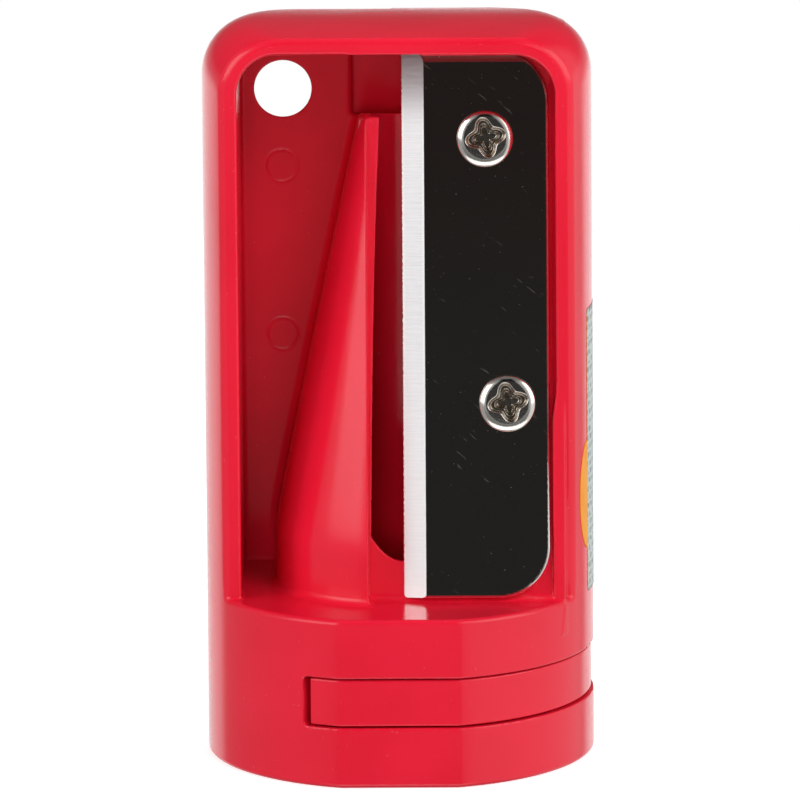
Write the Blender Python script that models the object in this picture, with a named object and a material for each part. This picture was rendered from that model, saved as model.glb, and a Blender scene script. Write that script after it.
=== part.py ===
"""A sharpener for flat carpenter's pencils, built as it comes apart on a bench.

The body is one moulding: a round base, a shallow D-shaped shell that is open at the front, and a conical
guide inside it. A steel blade lies on a sloping seat beside the guide, held by two screws. A collar with a
flat-sided opening turns in the base, and a C-shaped clip pushed into a slot from the side holds it there.

Lengths here are in millimetres. The origin is the centre of the base on the ground, +Z runs up the pencil's
axis, and -Y is the open front.
"""

import math

import bmesh
import bpy
from mathutils import Matrix, Vector

MM = 0.001
GAP = 0.05  # between still pieces that rest on each other
RUNNING_GAP = 0.2  # between the collar and what it turns in
OVERSHOOT = 10.0  # how far a cutter runs past the surface it breaks
BITE = 0.8  # how deep a joined shape sinks into its neighbour

# The body's outside
BODY_RADIUS = 19.0
BODY_HEIGHT = 73.0  # at the crown of the top, which is arched from front to back
CROWN_RADIUS = 54.0
BASE_HEIGHT = 16.8
FLAT_DISTANCE = 18.1  # the two small flats on the base, from the axis
FRONT_PLANE = -8.5
BACK_PLANE = 11.0
TOP_CORNER_RADIUS = 5.4
CROWN_STEPS = 13
CROWN_FOOT = 60.0  # below this height the sides are the plain column
ROUND_STEPS = 96
CORNER_STEPS = 10

# The open pocket at the front
POCKET_HALF_WIDTH = 15.45
POCKET_FLOOR = 9.0
POCKET_TOP = 70.8
POCKET_CORNER_RADIUS = 3.9
RECESS_LEFT = -4.5
RECESS_RIGHT = 2.4
RECESS_FLOOR = 10.0
RECESS_FALL = 1.9  # how far the recess runs down from the guide's end to the rear wall
HANG_HOLE_RADIUS = 2.9
HANG_HOLE_SLOPE = 0.22  # radius gained for each millimetre towards the back
HANG_HOLE_PLACE = (-11.3, 64.2)  # x, z
HANG_HOLE_STEPS = 32

# The conical guide: a pencil 15 x 7.5 across, so 16.8 corner to corner, turns in the throat
PENCIL_WIDTH = 15.0
PENCIL_THICKNESS = 7.5
THROAT_RADIUS = 8.8
THROAT_TOP = 23.0
BORE_SLOPE = 0.155  # radius lost for each millimetre of height
GUIDE_RADIUS = 12.2
GUIDE_SLOPE = 0.211
GUIDE_TOP = 63.5
GUIDE_STEPS = 48  # round the front half
RIDGE_X = -3.0  # where the guide's front ends in a step beside the blade

# The blade and its seat, a plane that leans back
SEAT_TILT = math.radians(9.11)
SEAT_FOOT = (-9.39, 17.1)  # y, z of the seat plane at the blade's lower edge
BLADE_LEFT = 0.45
BLADE_WIDTH = 14.3
BLADE_LENGTH = 53.5
BLADE_THICKNESS = 1.0
BLADE_CORNER_RADIUS = 5.0
EDGE_CORNER_RADIUS = 0.4
GROUND_WIDTH = 2.2  # the ground facet along the cutting edge
EDGE_THICKNESS = 0.1
BLADE_HOLE_RADIUS = 1.7

# The rib to the right of the blade
RIB_LEFT = 15.05
RIB_RIGHT = 16.3
RIB_TOP = 37.5
RIB_FOOT = 9.75  # how far the rib stands in front of the axis at the ledge

# The two pan-head screws
SCREW_X = {"upper_blade_screw": 8.6, "lower_blade_screw": 10.65}
SCREW_Z = {"upper_blade_screw": 61.4, "lower_blade_screw": 35.9}
HEAD_RADIUS = 2.75
HEAD_HEIGHT = 1.8
HEAD_ROUNDING = 1.0
SHANK_RADIUS = 1.25
SHANK_LENGTH = 8.0
SHANK_TIP = 1.5
TIP_RADIUS = 0.3
PILOT_CLEARANCE = 0.2
SCREW_STEPS = 32
RECESS_ARM_LENGTH = 3.2
RECESS_ARM_WIDTH = 0.8
CROSS_RECESS_DEPTH = 1.1

# The collar that turns with the pencil, and the clip that holds it
COLLAR_RADIUS = 15.3
COLLAR_FLOOR = 0.4
COLLAR_TOP = 12.7
COLLAR_CHAMFER = 0.6
OPENING_CLEARANCE = 0.8
OPENING_CORNER = 1.2
SHOULDER_Z = 13.0
SLOT_LOW = 6.0
SLOT_HIGH = 10.95
SLOT_ANGLE = math.radians(119.6)  # to each side of +X
SLOT_INNER_RADIUS = 10.0
CLIP_GAP = 0.25
CLIP_END_GAP = 0.64
CLIP_RECESS = 0.25
CLIP_INNER_RADIUS = 13.6
GROOVE_RADIUS = 13.3

# The sticker round the right side
LABEL_LOW = 16.6
LABEL_HIGH = 44.8
LABEL_START = math.radians(-14.4)
LABEL_END = math.radians(29.0)
LABEL_LIFT = 0.05
LABEL_THICKNESS = 0.12
LABEL_STEPS = 20
TAB_REACH = math.radians(7.0)  # half an oval stands out in front of the sticker's edge
TAB_MIDDLE = 26.8
TAB_HALF_HEIGHT = 5.9
TAB_STEPS = 12
LABEL_EDGE = math.radians(0.1)  # the rectangle starts this far behind the oval's widest line


def clear_scene():
    for obj in list(bpy.data.objects):
        bpy.data.objects.remove(obj, do_unlink=True)


def plastic(name, colour, roughness):
    return material(name, colour, roughness, 0.0)


def material(name, colour, roughness, metallic):
    made = bpy.data.materials.new(name)
    made.use_nodes = True
    shader = made.node_tree.nodes["Principled BSDF"]
    shader.inputs["Base Color"].default_value = (*colour, 1.0)
    shader.inputs["Roughness"].default_value = roughness
    shader.inputs["Metallic"].default_value = metallic
    made.diffuse_color = (*colour, 1.0)
    return made


def solid(name, points, faces, matrix=None):
    """An object from points in millimetres, with its faces turned outwards."""
    bm = bmesh.new()
    placed = [Vector(point) if matrix is None else matrix @ Vector(point) for point in points]
    made = [bm.verts.new(point * MM) for point in placed]
    for face in faces:
        bm.faces.new([made[index] for index in face])
    bmesh.ops.recalc_face_normals(bm, faces=bm.faces)
    mesh = bpy.data.meshes.new(name)
    bm.to_mesh(mesh)
    bm.free()
    obj = bpy.data.objects.new(name, mesh)
    bpy.context.scene.collection.objects.link(obj)
    return obj


def loft(name, rings, matrix=None):
    """A closed body through rings of equally many points, with a flat face over each end."""
    count = len(rings[0])
    points = [point for ring in rings for point in ring]
    faces = [tuple(range(count)), tuple(range(len(points) - count, len(points)))]
    for level in range(len(rings) - 1):
        start = level * count
        for index in range(count):
            after = (index + 1) % count
            faces.append((start + index, start + after, start + count + after, start + count + index))
    return solid(name, points, faces, matrix)


def upright(name, outline, low, high, matrix=None):
    """An outline in x, y pulled up from one height to another."""
    return loft(name, [[(x, y, z) for x, y in outline] for z in (low, high)], matrix)


def facing_front(name, outline, front, back):
    """An outline in x, z pulled from front to back."""
    return loft(name, [[(x, y, z) for x, z in outline] for y in (front, back)])


def sideways(name, outline, left, right):
    """An outline in y, z pulled from left to right."""
    return loft(name, [[(x, y, z) for y, z in outline] for x in (left, right)])


def turned(name, profile, steps, matrix=None):
    """A profile of (radius, height) turned round the Z axis, closed at both ends."""
    rings = []
    for radius, height in profile:
        angles = [2 * math.pi * step / steps for step in range(steps)]
        rings.append([(radius * math.cos(a), radius * math.sin(a), height) for a in angles])
    return loft(name, rings, matrix)


def arc(centre, radius, start, end, steps):
    """Points on a circle from one angle to another, both ends included."""
    angles = [start + (end - start) * step / steps for step in range(steps + 1)]
    return [(centre[0] + radius * math.cos(a), centre[1] + radius * math.sin(a)) for a in angles]


def rounded_rectangle(left, right, low, high, radii):
    """An outline whose corners, from lower left round to upper left, have these radii."""
    corners = [(left, low, 1, 1), (right, low, -1, 1), (right, high, -1, -1), (left, high, 1, -1)]
    outline = []
    for (x, y, inward_x, inward_y), radius, quarter in zip(corners, radii, (2, 3, 0, 1)):
        if not radius:
            outline.append((x, y))
            continue
        centre = (x + inward_x * radius, y + inward_y * radius)
        start = quarter * math.pi / 2
        outline += arc(centre, radius, start, start + math.pi / 2, CORNER_STEPS)
    return outline


def boolean(target, other, operation):
    """Keeps the other shape as a hidden helper of the target."""
    other.hide_render = True
    other.display_type = "WIRE"
    modifier = target.modifiers.new(other.name, "BOOLEAN")
    modifier.operation = operation
    modifier.object = other


def cut(target, other):
    boolean(target, other, "DIFFERENCE")


def join(target, other):
    boolean(target, other, "UNION")


def finish(obj, surface, sharp_degrees=30.0):
    obj.data.materials.append(surface)
    obj.data.shade_smooth()
    obj.data.set_sharp_from_angle(angle=math.radians(sharp_degrees))


def seat_frame(x, along, above):
    """Local x, up the seat and out of it, as a matrix in the body's frame."""
    sine = math.sin(SEAT_TILT)
    cosine = math.cos(SEAT_TILT)
    turn = Matrix(((1, 0, 0), (0, sine, -cosine), (0, cosine, sine)))
    origin = Vector((x, *SEAT_FOOT)) + turn @ Vector((0, along, above))
    return Matrix.Translation(origin) @ turn.to_4x4()


def seat_y(z):
    """Where the seat plane lies at a height."""
    return SEAT_FOOT[0] + math.tan(SEAT_TILT) * (z - SEAT_FOOT[1])


def up_the_seat(z):
    return (z - SEAT_FOOT[1]) / math.cos(SEAT_TILT)


def bore_radius(z):
    return THROAT_RADIUS - BORE_SLOPE * (z - THROAT_TOP)


def base_outline(radius, flat):
    """A circle with a flat at the front and one at the back."""
    tip = math.asin(flat / radius)
    right = arc((0, 0), radius, -tip, tip, ROUND_STEPS // 2)
    left = arc((0, 0), radius, math.pi - tip, math.pi + tip, ROUND_STEPS // 2)
    return right + left


def sector(outer, inner, half_angle):
    """A C-shaped outline round +X."""
    outside = arc((0, 0), outer, -half_angle, half_angle, ROUND_STEPS)
    return outside + arc((0, 0), inner, half_angle, -half_angle, ROUND_STEPS)


def crown_ring(y, at):
    """The shell's outline with rounded top corners, as it is at one depth, placed at another."""
    high = BODY_HEIGHT - CROWN_RADIUS + math.sqrt(CROWN_RADIUS**2 - y**2)
    half = math.sqrt(BODY_RADIUS**2 - y**2) + GAP
    corners = (0, 0, TOP_CORNER_RADIUS, TOP_CORNER_RADIUS)
    top = rounded_rectangle(-half, half, CROWN_FOOT, high, corners)[2:]
    wide = BODY_RADIUS + GAP
    foot = [(-wide, CROWN_FOOT), (-wide, -OVERSHOOT), (wide, -OVERSHOOT), (wide, CROWN_FOOT)]
    return [(x, at, z) for x, z in foot + top]


def cut_outside(body):
    """Takes the base's column down to the D-shaped shell above the ledge."""
    past = BODY_RADIUS + OVERSHOOT
    top = BODY_HEIGHT + OVERSHOOT
    in_front = rounded_rectangle(-past, past, BASE_HEIGHT, top, (0, 0, 0, 0))
    cut(body, facing_front("space_in_front", in_front, -past, FRONT_PLANE))
    cut(body, facing_front("space_behind", in_front, BACK_PLANE, past))
    span = BACK_PLANE - FRONT_PLANE
    stations = [FRONT_PLANE + span * step / CROWN_STEPS for step in range(CROWN_STEPS + 1)]
    rings = [crown_ring(stations[0], -past)]
    rings += [crown_ring(y, y) for y in stations]
    rings.append(crown_ring(stations[-1], past))
    boolean(body, loft("arched_top", rings), "INTERSECT")


def cut_pocket(body):
    """Opens the front, and leaves the ledge's height as the pocket's lower end."""
    corners = (0, 0, POCKET_CORNER_RADIUS, POCKET_CORNER_RADIUS)
    wide = POCKET_HALF_WIDTH
    opening = rounded_rectangle(-wide, wide, BASE_HEIGHT, POCKET_TOP, corners)
    cut(body, facing_front("pocket_space", opening, -BODY_RADIUS - OVERSHOOT, POCKET_FLOOR))


def guide_ring(radius, z):
    """Round at the front, with straight sides back into the rear wall."""
    front = [(x, y, z) for x, y in arc((0, 0), radius, math.pi, 2 * math.pi, GUIDE_STEPS)]
    return front + [(radius, POCKET_FLOOR + BITE, z), (-radius, POCKET_FLOOR + BITE, z)]


def add_guide(body):
    top = GUIDE_TOP + BITE
    rings = [
        guide_ring(GUIDE_RADIUS, BASE_HEIGHT - BITE),
        guide_ring(GUIDE_RADIUS, THROAT_TOP),
        guide_ring(GUIDE_RADIUS - GUIDE_SLOPE * (top - THROAT_TOP), top),
    ]
    join(body, loft("guide_cone", rings))
    low = BASE_HEIGHT - BITE
    high = POCKET_TOP + BITE
    block = [
        (seat_y(low) - BITE, low),
        (POCKET_FLOOR + BITE, low),
        (POCKET_FLOOR + BITE, high),
        (seat_y(high) - BITE, high),
    ]
    join(body, sideways("seat_block", block, 0.0, RIB_LEFT + BITE))


def cut_seat(body):
    """Planes the guide and the block down to the seat, right of the ridge."""
    deep = -BODY_RADIUS - OVERSHOOT
    low = BASE_HEIGHT
    high = POCKET_TOP
    outline = [(seat_y(low), low), (seat_y(high), high), (deep, high), (deep, low)]
    cut(body, sideways("seat_space", outline, RIDGE_X, RIB_LEFT))
    outline = [
        (-GUIDE_RADIUS, GUIDE_TOP),
        (0.0, GUIDE_TOP),
        (RECESS_FLOOR, GUIDE_TOP - RECESS_FALL),
        (RECESS_FLOOR, POCKET_TOP),
        (-GUIDE_RADIUS, POCKET_TOP),
    ]
    cut(body, sideways("tip_recess", outline, RECESS_LEFT, RECESS_RIGHT))


def add_rib(body):
    slope = (RIB_FOOT + FRONT_PLANE) / (RIB_TOP - BASE_HEIGHT)
    low = BASE_HEIGHT - BITE
    high = RIB_TOP + BITE
    outline = [
        (-RIB_FOOT - slope * BITE, low),
        (FRONT_PLANE + slope * BITE, high),
        (0.0, high),
        (0.0, low),
    ]
    join(body, sideways("blade_rib", outline, RIB_LEFT, RIB_RIGHT))


def hole_ring(y):
    """The hanging hole's outline at one depth. It widens towards the back."""
    radius = HANG_HOLE_RADIUS + HANG_HOLE_SLOPE * (y - POCKET_FLOOR)
    outline = arc(HANG_HOLE_PLACE, radius, 0, 2 * math.pi, HANG_HOLE_STEPS)[:-1]
    return [(x, y, z) for x, z in outline]


def cut_bores(body):
    """The collar's seat, the throat and the cone in one stepped bore, then the other holes."""
    past_tip = GUIDE_TOP + BITE
    bore = COLLAR_RADIUS + RUNNING_GAP
    profile = [
        (bore, -OVERSHOOT),
        (bore, SHOULDER_Z),
        (THROAT_RADIUS, SHOULDER_Z),
        (THROAT_RADIUS, THROAT_TOP),
        (bore_radius(past_tip), past_tip),
    ]
    cut(body, turned("pencil_bore", profile, ROUND_STEPS))
    slot = sector(BODY_RADIUS + OVERSHOOT, SLOT_INNER_RADIUS, SLOT_ANGLE)
    cut(body, upright("clip_slot", slot, SLOT_LOW, SLOT_HIGH))
    cut(body, loft("hang_hole", [hole_ring(POCKET_FLOOR - BITE), hole_ring(BACK_PLANE + OVERSHOOT)]))
    for name in SCREW_X:
        pilot = SHANK_RADIUS + PILOT_CLEARANCE
        profile = [(pilot, -SHANK_LENGTH), (pilot, OVERSHOOT)]
        place = seat_frame(SCREW_X[name], up_the_seat(SCREW_Z[name]), 0)
        cut(body, turned("pilot_of_" + name, profile, SCREW_STEPS, place))


def make_body(surface):
    body = upright("body", base_outline(BODY_RADIUS, FLAT_DISTANCE), 0, BODY_HEIGHT)
    cut_outside(body)
    cut_pocket(body)
    add_guide(body)
    cut_seat(body)
    add_rib(body)
    cut_bores(body)
    finish(body, surface)


def make_blade(surface):
    """A flat plate with one long side ground down to the cutting edge."""
    radii = (EDGE_CORNER_RADIUS, BLADE_CORNER_RADIUS, BLADE_CORNER_RADIUS, EDGE_CORNER_RADIUS)
    outline = rounded_rectangle(0, BLADE_WIDTH, 0, BLADE_LENGTH, radii)
    place = seat_frame(BLADE_LEFT, 0, GAP)
    blade = upright("blade", outline, 0, BLADE_THICKNESS, place)
    slope = (BLADE_THICKNESS - EDGE_THICKNESS) / GROUND_WIDTH
    wedge = [
        (-BITE, EDGE_THICKNESS - slope * BITE),
        (GROUND_WIDTH + BITE, BLADE_THICKNESS + slope * BITE),
        (-BITE, BLADE_THICKNESS + slope * BITE),
    ]
    ends = (-OVERSHOOT, BLADE_LENGTH + OVERSHOOT)
    cut(blade, loft("ground_facet", [[(x, y, z) for x, z in wedge] for y in ends], place))
    for name in SCREW_X:
        profile = [(BLADE_HOLE_RADIUS, -OVERSHOOT), (BLADE_HOLE_RADIUS, OVERSHOOT)]
        hole = seat_frame(SCREW_X[name], up_the_seat(SCREW_Z[name]), 0)
        cut(blade, turned("blade_hole_of_" + name, profile, SCREW_STEPS, hole))
    finish(blade, surface)


def make_screw(name, surface):
    """A pan head with a cross recess on a short pointed shank."""
    crown_centre = (HEAD_RADIUS - HEAD_ROUNDING, HEAD_HEIGHT - HEAD_ROUNDING)
    crown = arc(crown_centre, HEAD_ROUNDING, 0, math.pi / 2, CORNER_STEPS)
    tip = SHANK_RADIUS - SHANK_LENGTH
    profile = [
        (TIP_RADIUS, tip),
        (SHANK_RADIUS, tip + SHANK_TIP),
        (SHANK_RADIUS, 0),
        (HEAD_RADIUS, 0),
        *crown,
    ]
    above = BLADE_THICKNESS + 2 * GAP
    place = seat_frame(SCREW_X[name], up_the_seat(SCREW_Z[name]), above)
    screw = turned(name, profile, SCREW_STEPS, place)
    low = HEAD_HEIGHT - CROSS_RECESS_DEPTH
    long_half = RECESS_ARM_LENGTH / 2
    short_half = RECESS_ARM_WIDTH / 2
    for way, x, y in (("across", long_half, short_half), ("along", short_half, long_half)):
        arm = rounded_rectangle(-x, x, -y, y, (0, 0, 0, 0))
        cut(screw, upright(f"recess_{way}_{name}", arm, low, OVERSHOOT, place))
    finish(screw, surface)


def make_collar(surface):
    """A grooved ring whose flat-sided opening takes the pencil. Its origin is on its axis."""
    groove_low = SLOT_LOW + CLIP_GAP - RUNNING_GAP
    groove_high = SLOT_HIGH - CLIP_GAP + RUNNING_GAP
    profile = [
        (COLLAR_RADIUS - COLLAR_CHAMFER, COLLAR_FLOOR),
        (COLLAR_RADIUS, COLLAR_FLOOR + COLLAR_CHAMFER),
        (COLLAR_RADIUS, groove_low),
        (GROOVE_RADIUS, groove_low),
        (GROOVE_RADIUS, groove_high),
        (COLLAR_RADIUS, groove_high),
        (COLLAR_RADIUS, COLLAR_TOP - COLLAR_CHAMFER),
        (COLLAR_RADIUS - COLLAR_CHAMFER, COLLAR_TOP),
    ]
    collar = turned("pencil_collar", profile, ROUND_STEPS)
    x = (PENCIL_WIDTH + OPENING_CLEARANCE) / 2
    y = (PENCIL_THICKNESS + OPENING_CLEARANCE) / 2
    opening = rounded_rectangle(-x, x, -y, y, (OPENING_CORNER,) * 4)
    cut(collar, upright("pencil_opening", opening, -OVERSHOOT, SHOULDER_Z + OVERSHOOT))
    finish(collar, surface)


def make_clip(surface):
    """A flat C that snaps in from the side, its inner edge in the collar's groove."""
    half_angle = SLOT_ANGLE - CLIP_END_GAP / BODY_RADIUS
    outer = BODY_RADIUS - CLIP_RECESS
    flat = FLAT_DISTANCE - CLIP_RECESS
    ring = sector(outer, CLIP_INNER_RADIUS, half_angle)
    outline = [(x, max(-flat, min(flat, y))) for x, y in ring]
    clip = upright("retaining_clip", outline, SLOT_LOW + CLIP_GAP, SLOT_HIGH - CLIP_GAP)
    finish(clip, surface)


def label_ring(angle, low, high):
    """The sticker's cross-section at one angle round the body."""
    inner = BODY_RADIUS + LABEL_LIFT
    outer = inner + LABEL_THICKNESS
    corners = ((inner, low), (outer, low), (outer, high), (inner, high))
    return [(radius * math.cos(angle), radius * math.sin(angle), z) for radius, z in corners]


def make_label(surface):
    """A rectangle wrapped round the side, with half an oval in front of its edge."""
    rings = []
    for step in range(1, TAB_STEPS + 1):
        turn = math.pi / 2 * step / TAB_STEPS
        half = TAB_HALF_HEIGHT * math.sin(turn)
        angle = LABEL_START - TAB_REACH * math.cos(turn)
        rings.append(label_ring(angle, TAB_MIDDLE - half, TAB_MIDDLE + half))
    for step in range(LABEL_STEPS + 1):
        share = step / LABEL_STEPS
        angle = LABEL_START + LABEL_EDGE + (LABEL_END - LABEL_START - LABEL_EDGE) * share
        rings.append(label_ring(angle, LABEL_LOW, LABEL_HIGH))
    finish(loft("side_label", rings), surface)


def main():
    clear_scene()
    red = plastic("red_plastic", (0.62, 0.012, 0.03), 0.25)
    steel = material("blade_steel", (0.55, 0.55, 0.54), 0.15, 1.0)
    plated = material("plated_steel", (0.72, 0.70, 0.66), 0.18, 1.0)
    paper = plastic("label_paper", (0.83, 0.42, 0.04), 0.4)
    make_body(red)
    make_blade(steel)
    for name in SCREW_X:
        make_screw(name, plated)
    make_collar(red)
    make_clip(red)
    make_label(paper)


main()
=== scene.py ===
"""The looks of a flat carpenter's pencil sharpener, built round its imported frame.

The moulded plastic pieces, the blade and the screws are surfaces of signed distances, so that every edge has
the small round it has on the real thing. Lengths are in millimetres until a mesh is made. +Z runs up the
pencil's axis and -Y is the open front.
"""

import math

import bmesh
import bpy
import numpy as np
from mathutils import Matrix, Vector


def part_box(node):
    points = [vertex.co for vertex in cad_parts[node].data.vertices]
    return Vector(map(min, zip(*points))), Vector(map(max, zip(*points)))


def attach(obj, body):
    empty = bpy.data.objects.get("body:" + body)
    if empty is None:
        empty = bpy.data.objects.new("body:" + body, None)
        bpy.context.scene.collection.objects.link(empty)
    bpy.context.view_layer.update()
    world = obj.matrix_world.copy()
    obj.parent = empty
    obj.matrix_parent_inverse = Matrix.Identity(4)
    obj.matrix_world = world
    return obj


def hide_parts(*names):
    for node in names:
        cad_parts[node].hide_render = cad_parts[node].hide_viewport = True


MM = 0.001
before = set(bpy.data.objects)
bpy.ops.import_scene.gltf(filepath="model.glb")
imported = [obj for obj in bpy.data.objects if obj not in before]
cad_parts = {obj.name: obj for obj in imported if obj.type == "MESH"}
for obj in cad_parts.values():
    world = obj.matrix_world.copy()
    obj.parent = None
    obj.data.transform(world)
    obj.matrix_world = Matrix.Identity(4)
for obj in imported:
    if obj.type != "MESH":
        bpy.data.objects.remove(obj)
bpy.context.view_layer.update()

# The body, as in the frame
BODY = [Vector(corner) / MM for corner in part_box("body")]
BODY_RADIUS = BODY[1].x
FLAT_DISTANCE = BODY[1].y
CROWN_HEIGHT = BODY[1].z
CROWN_RADIUS = 54.0
CORNER_RADIUS = 5.3
BASE_HEIGHT = 16.8
FRONT_PLANE = -8.5
BACK_PLANE = 11.0
POCKET_HALF = 15.45
POCKET_TOP = 70.8
POCKET_CORNER = 3.9
POCKET_FLOOR = 9.0
POCKET_DRAFT = (0.15, -4.9, -4.3)  # how much lower the roof is to the right, and where it steps down
POCKET_DROP = 10.0  # how far the outline's middle is moved down, so that it runs on below the ledge
RECESS = (-4.5, 2.4, 63.5, 10.0)  # left, right, foot, floor
RECESS_FALL = 0.19
HOLE = (-11.3, 64.3, 2.78, 0.22)  # x, z, radius at the floor, growth towards the back
EJECTOR_MARKS = ((-11.5, 56.6), (-11.5, 39.7))
EJECTOR_RING = (1.6, 0.05, 0.16)  # radius, depth, width
THROAT_RADIUS = 8.8
THROAT_TOP = 23.0
SLIT = (20.6, 0.25, 0.3, -2.6, 8.35)  # foot, how fast it rises round a middle, left, radius behind the lip
SLIT_ZONE = (2.0, -7.5, 19.0, 25.5)  # right, rear, low and high ends of where the slit's foot is shaped
SLIT_MARGIN = 0.3  # how far the notch at the slit's foot runs outside the bore
SUNK = 0.8  # how deep a joined shape sinks into its neighbour
WALL_BITE = 1.0  # how far the guide runs into the rear wall
RIB_END = 0.6  # how far the rib runs on above its top, inside the rim
SKIN = 0.4  # how far joined shapes stay inside the body's outside
HOLE_START = 4.0  # how far in front of the pocket's floor the hanging hole's cutter starts
RIM_START = (17.4, 19.0)  # the heights between which the ledge's round grows into the rim's
RECESS_DEEPER = (5.0, 7.5)  # the depths between which the recess's edge gets rounder
JOINED_FROM = 14.0  # the height inside the base from which the shapes above the ledge start
BORE_SLOPE = 0.155
GUIDE_RADIUS = 12.2
GUIDE_SLOPE = 0.211
GUIDE_TOP = 63.5
GUIDE_BLEND = 1.6
RIDGE_X = -3.0
RIB = (15.05, 16.3, 37.5, 9.75)  # left, right, top, how far it stands out at the ledge
RIB_TAPER = (0.4, 34.0, 38.0)  # how far its left side moves over, and between which heights
SHOULDER_Z = 13.0
COLLAR_CLEARANCE = 0.2
SLOT = (6.0, 10.95, math.radians(119.6))  # low, high, angle to each side of +X
SLOT_INNER = 11.0
ROUND = {  # the radius of each edge or fillet
    "flat": 0.12,
    "foot": 0.5,
    "pocket_floor": 0.4,
    "pocket_front": 0.35,
    "ledge": 0.3,
    "ledge_front": 0.5,
    "rim_growth": 0.15,
    "rear_step": 0.4,
    "guide_top": 0.7,
    "ridge": 0.15,
    "ridge_front": 0.05,
    "guide_foot": 0.8,
    "rib_side": 0.1,
    "rib_front": 0.25,
    "rib_foot": 0.12,
    "recess": 0.2,
    "recess_edge": 0.12,
    "recess_growth": 0.4,
    "bore": 0.12,
    "collar_seat": 0.3,
    "slot_corner": 0.5,
    "slot": 0.12,
    "hole": 0.18,
    "pilot": 0.1,
    "collar": 0.6,
    "groove_corner": 0.15,
    "groove": 0.2,
    "opening": 0.5,
    "clip": 0.2,
    "head": 0.12,
    "cross": 0.06,
    "cross_floor": 0.1,
    "shank_end": 0.2,
    "neck": 0.1,
    "blade": 0.12,
    "blade_rear": 0.1,
    "bevel": 0.02,
    "blade_hole": 0.08,
}

# The turning collar and the clip that holds it
COLLAR = [Vector(corner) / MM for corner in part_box("pencil_collar")]
COLLAR_OPENING = (7.9, 4.15, 1.2)  # half its width, half its depth, corner radius
GROOVE_RADIUS = 13.3
GROOVE_MIDDLE = 8.475
GROOVE_HALF = 2.425
CLIP = [Vector(corner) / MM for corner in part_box("retaining_clip")]
CLIP_INNER = 13.6
CLIP_END_GAP = 0.64
CLIP_GROWTH = 0.1

# The blade's seat
SEAT_TILT = math.radians(9.11)
SEAT_FOOT = (-9.39, 17.1)
BLADE_LEFT = 0.45
BLADE_SIZE = (14.3, 53.5, 1.0)
BLADE_LIFT = 0.05
BLADE_CORNERS = (0.4, 5.0)  # at the cutting edge, at the far side
BLADE_DROP = (0.16, 1.4)  # how fast the face falls towards the upper end, and over what length
BLADE_CHAMFER = (0.42, 0.24)  # its slope and width, all round
GROUND_WIDTH = 2.2
EDGE_THICKNESS = 0.1
SCREWS = {"upper_blade_screw": (8.6, 61.4), "lower_blade_screw": (10.65, 35.9)}
SCREW_LIFT = BLADE_SIZE[2] + 2 * BLADE_LIFT
HEAD = (2.75, 1.8)  # radius, height
DOME = (1.95, 0.45)  # where the head's top starts to fall, how fast
HEAD_CROWN = 0.012
HEAD_BITE = 0.3  # how far the shank runs into the head
CROSS_PLACE = (0.1, 0.1)
CROSS_TURN = math.radians(12.0)
CROSS_STEPS = ((1.66, 0.34, 0.45, 0.55), (1.2, 0.3, 0.3, 1.3))  # middle reach, lobe, wall slope, depth
SHANK = (1.25, 8.0)  # radius, length
THREAD = (1.0, 0.28)  # pitch, depth
THREAD_FADE = (0.6, 2.6)  # where the thread starts and where it is full, from the tip
TAPER = (2.0, 0.45)  # the point's length and slope
HOLE_IN_BLADE = 1.7
PILOT = (1.45, 8.0)  # radius, depth

# The distance functions aren't exact, so these bring their slopes back to about one
LEANING = 0.978
BORE_LEAN = 0.988
FALL_LEAN = 0.98
SLIT_LEAN = 0.75
DOME_LEAN = 0.8
CROSS_LEAN = 0.72
SHAFT_LEAN = 0.75

# Grids: how far apart the points are, and the most triangles a piece may have
GRIDS = {
    "moulded_body": (0.28, 185000),
    "turning_collar": (0.26, 60000),
    "snap_clip": (0.2, 50000),
    "ground_blade": (0.14, 60000),
    "cross_screw": (0.09, 60000),
}
SLIT_GRID = {0: (-4.2, 0.6, 0.1), 1: (-9.2, 0.2, 0.11)}  # closer at the guide's thin edge: from, to, step
MARGIN = 1.5  # steps of room round a piece
SLAB = 8  # how many layers of the grid are worked out at once
LEAST_SLOPE = 0.05  # keeps a point from leaping where the distance is nearly level
STAY = 0.03  # how strongly a feature point is held at its cell's middle
INWARD = 0.15  # how far inside its face a corner's normal is read
MOST_INWARD = 0.4  # the same as a share of the way to the face's middle

# The label, in mm and in degrees round the body from +X
LABEL = (16.6, 44.8, math.radians(-14.4), math.radians(29.0))  # foot, top, start, end
LABEL_LAYER = (-0.03, 0.08)  # lift off the body, thickness
TAB = (26.4, 5.4, math.radians(7.0))  # middle, half its height, how far it reaches in front
LABEL_CORNER = 0.6
LABEL_COLUMNS = ((0.02, 26), (0.05, 8), (0.02, 60))  # first step and count: half oval, corner, the rest
LABEL_ROWS = 41

# Linear red, green and blue. A pair holds the two ends of a pattern.
PLASTIC_REDS = ((0.69, 0.008, 0.028), (0.73, 0.010, 0.033))
PLASTIC_SPECK = (0.75, 0.06, 0.09)
# The blade face's own dark colour at its lower end; its upper end is tinted red-brown, a painted reflection
# of the red housing above it
FACE_AND_PAINTED_RED_REFLECTION = ((0.42, 0.40, 0.36), (0.40, 0.30, 0.27))  # the blade's lower and upper end
FACE_MARK = (0.75, 0.73, 0.70)
GROUND_GREYS = ((0.76, 0.76, 0.77), (0.95, 0.95, 0.96))
# painted highlight along the ground strip's two edges
GROUND_EDGE_PAINTED_HIGHLIGHT = (0.97, 0.97, 0.97)
# painted highlight: the ground strip's lower part is lightened towards this white
GROUND_FOOT_PAINTED_HIGHLIGHT = (1.0, 1.0, 1.0)
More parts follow.
